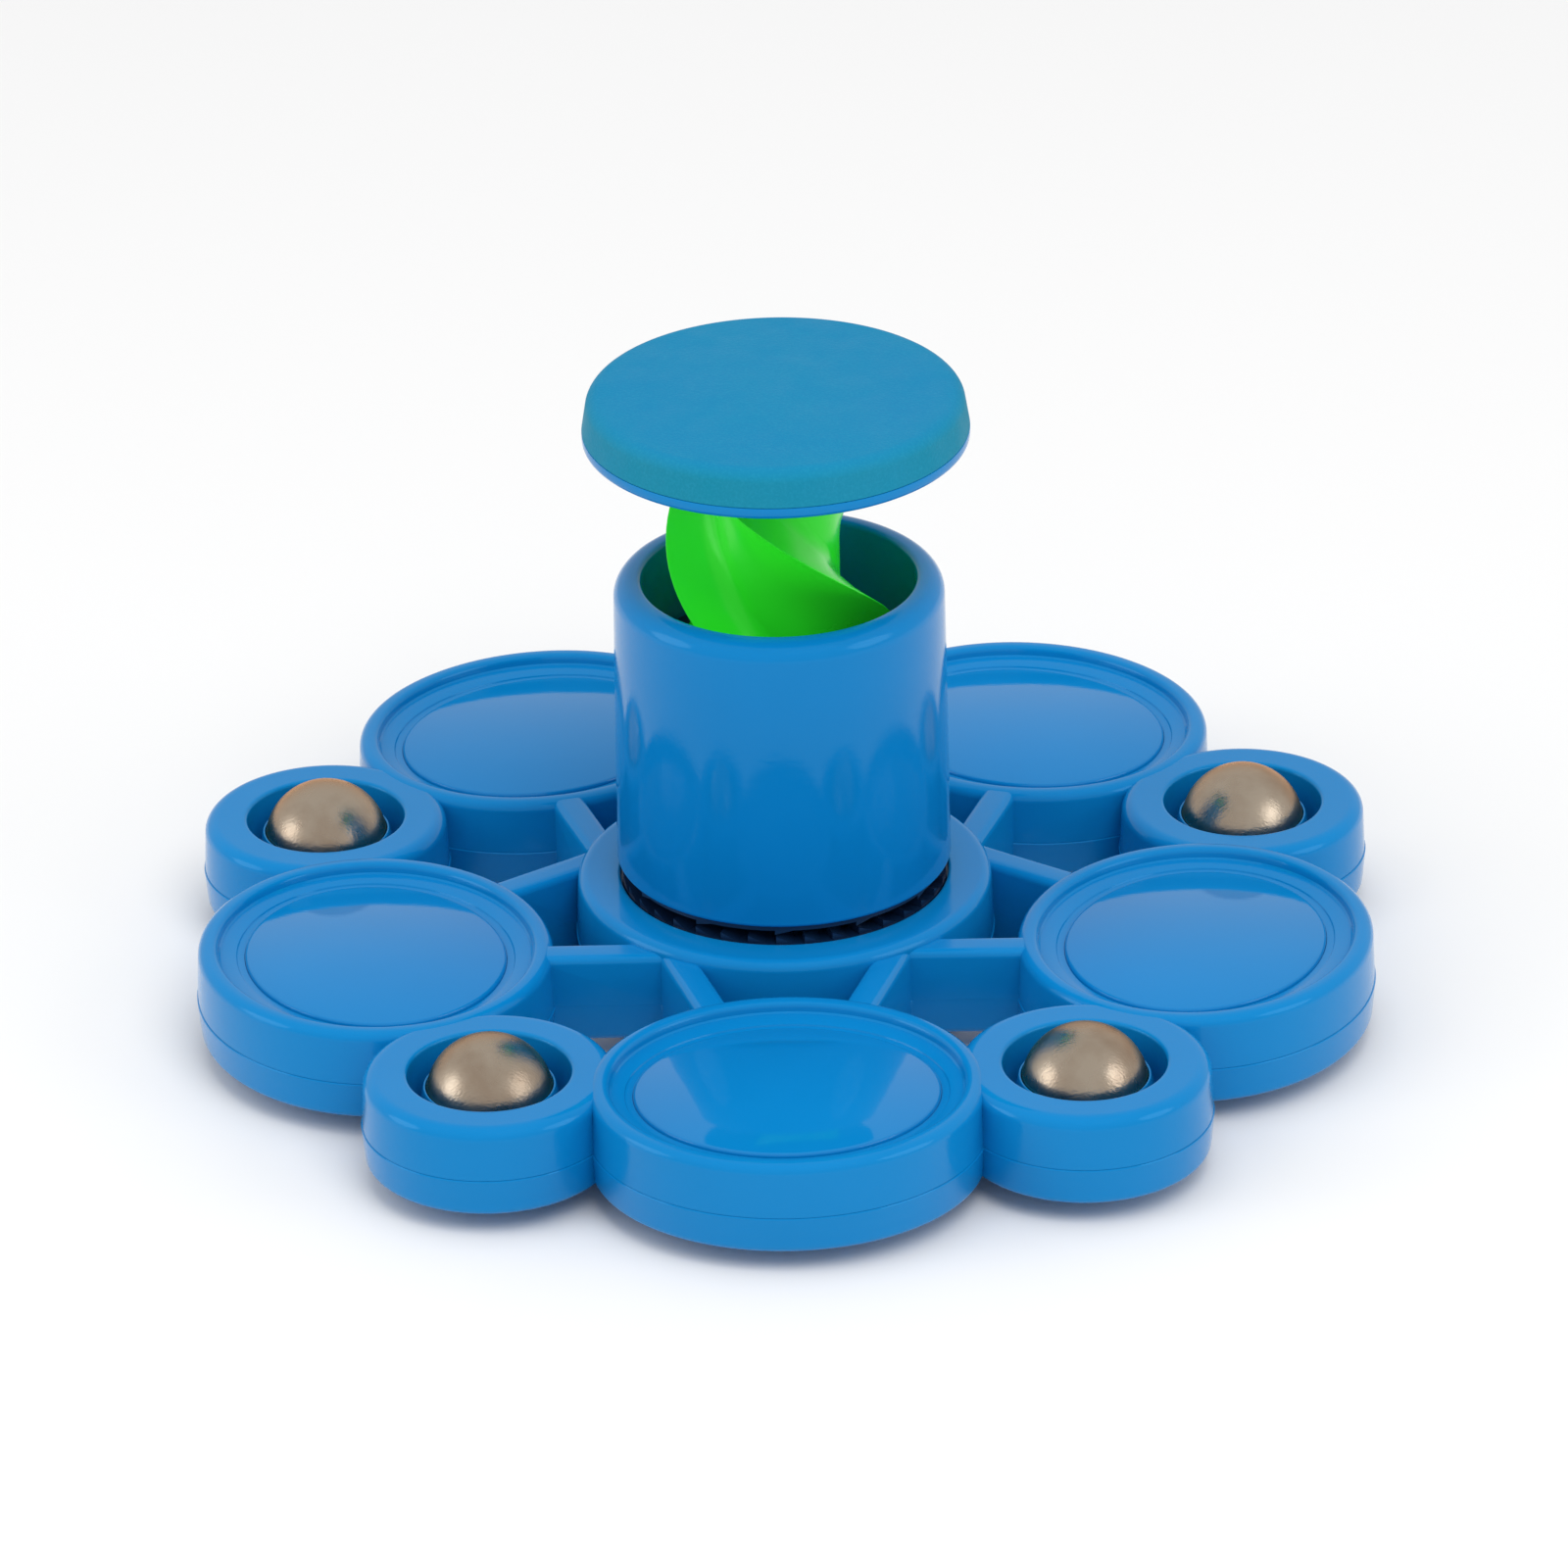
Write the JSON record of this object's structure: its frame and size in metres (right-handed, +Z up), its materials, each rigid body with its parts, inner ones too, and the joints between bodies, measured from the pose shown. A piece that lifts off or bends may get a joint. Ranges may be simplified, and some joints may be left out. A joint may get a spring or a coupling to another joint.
{
  "type": "press-to-spin fidget spinner",
  "caption": "Desk spinner: a lobed wheel with finger dishes and loose steel balls, turned by a twisted shaft when the button on its centre tower is pressed.",
  "frame": {"origin": "centre of the foot pad's underside, on the axis of the wheel and tower", "axes": "+Z up along the spin axis, -Y towards the front finger dish, +X to its right"},
  "size_m": [0.105, 0.1084, 0.0583],
  "materials": {
    "blue_gloss": "glossy moulded plastic, mid blue",
    "inlay_gloss": "polished plastic plate",
    "soft_touch_teal": "soft-touch matt coating, fine grain",
    "green_gloss": "glossy moulded plastic, bright green",
    "dark_nylon": "dark moulded nylon",
    "white_nylon": "natural moulded nylon",
    "ball_steel": "polished steel ball",
    "bearing_steel": "ground bearing steel",
    "zinc": "zinc-plated steel",
    "foot_rubber": "matt black rubber"
  },
  "bodies": {
    "base": {"foot_pad": "foot_rubber", "foot_plate": "blue_gloss", "foot_screw": "zinc", "guide_post": "white_nylon", "bearing_inner_race": "bearing_steel", "bearing_clip": "zinc", "tower_clip": "zinc", "return_spring": "bearing_steel"},
    "bearing_cage": {"bearing_cage": "zinc", "bearing_ball_1": "bearing_steel", "bearing_ball_2": "bearing_steel", "bearing_ball_3": "bearing_steel", "bearing_ball_4": "bearing_steel", "bearing_ball_5": "bearing_steel", "bearing_ball_6": "bearing_steel", "bearing_ball_7": "bearing_steel"},
    "wheel": {"wheel_lower": "blue_gloss", "wheel_upper": "blue_gloss", "bearing_outer_race": "bearing_steel", "bearing_shield_lower": "zinc", "bearing_shield_upper": "zinc", "ratchet_ring": "dark_nylon", "disc_inlay_1": "inlay_gloss", "disc_inlay_2": "inlay_gloss", "disc_inlay_3": "inlay_gloss", "disc_inlay_4": "inlay_gloss", "disc_inlay_5": "inlay_gloss"},
    "ball_1": {"steel_ball_1": "ball_steel"},
    "ball_2": {"steel_ball_2": "ball_steel"},
    "ball_3": {"steel_ball_3": "ball_steel"},
    "ball_4": {"steel_ball_4": "ball_steel"},
    "ball_5": {"steel_ball_5": "ball_steel"},
    "tower": {"tower_sleeve": "blue_gloss", "tower_bush": "dark_nylon", "drive_ring": "dark_nylon", "drive_nut": "dark_nylon"},
    "button": {"twist_shaft": "green_gloss", "spring_pin": "zinc", "button_body": "blue_gloss", "button_cover": "soft_touch_teal"}
  },
  "joints": [
    {"name": "wheel_spin", "type": "hinge", "parent": "base", "child": "wheel", "pos_m": [0, 0, 0], "axis": [0, 0, 1], "continuous": true},
    {"name": "cage_spin", "type": "hinge", "parent": "base", "child": "bearing_cage", "pos_m": [0, 0, 0], "axis": [0, 0, 1], "continuous": true},
    {"name": "button_press", "type": "slide", "parent": "base", "child": "button", "axis": [0, 0, 1], "range_m": [-0.0125, 0], "stiffness_N_per_m": 300, "springref_m": 0.003, "deforming": ["return_spring"]},
    {"name": "tower_turn", "type": "hinge", "parent": "base", "child": "tower", "pos_m": [0, 0, 0], "axis": [0, 0, 1], "range_deg": [-98, 0]},
    {"name": "ball_roll_1", "type": "hinge", "parent": "wheel", "child": "ball_1", "pos_m": [0.02561, -0.03525, 0.0078], "axis": [0.809, 0.5878, 0], "continuous": true},
    {"name": "ball_roll_2", "type": "hinge", "parent": "wheel", "child": "ball_2", "pos_m": [0.04144, 0.01347, 0.0078], "axis": [-0.309, 0.9511, 0], "continuous": true},
    {"name": "ball_roll_3", "type": "hinge", "parent": "wheel", "child": "ball_3", "pos_m": [0, 0.04358, 0.0078], "axis": [-1, 0, 0], "continuous": true},
    {"name": "ball_roll_4", "type": "hinge", "parent": "wheel", "child": "ball_4", "pos_m": [-0.04144, 0.01347, 0.0078], "axis": [-0.309, -0.9511, 0], "continuous": true},
    {"name": "ball_roll_5", "type": "hinge", "parent": "wheel", "child": "ball_5", "pos_m": [-0.02561, -0.03525, 0.0078], "axis": [0.809, -0.5878, 0], "continuous": true}
  ],
  "couplings": [
    {"joint": "tower_turn", "follows": "button_press", "rad_per_m": 136.59},
    {"joint": "cage_spin", "follows": "wheel_spin", "ratio": 0.632}
  ]
}
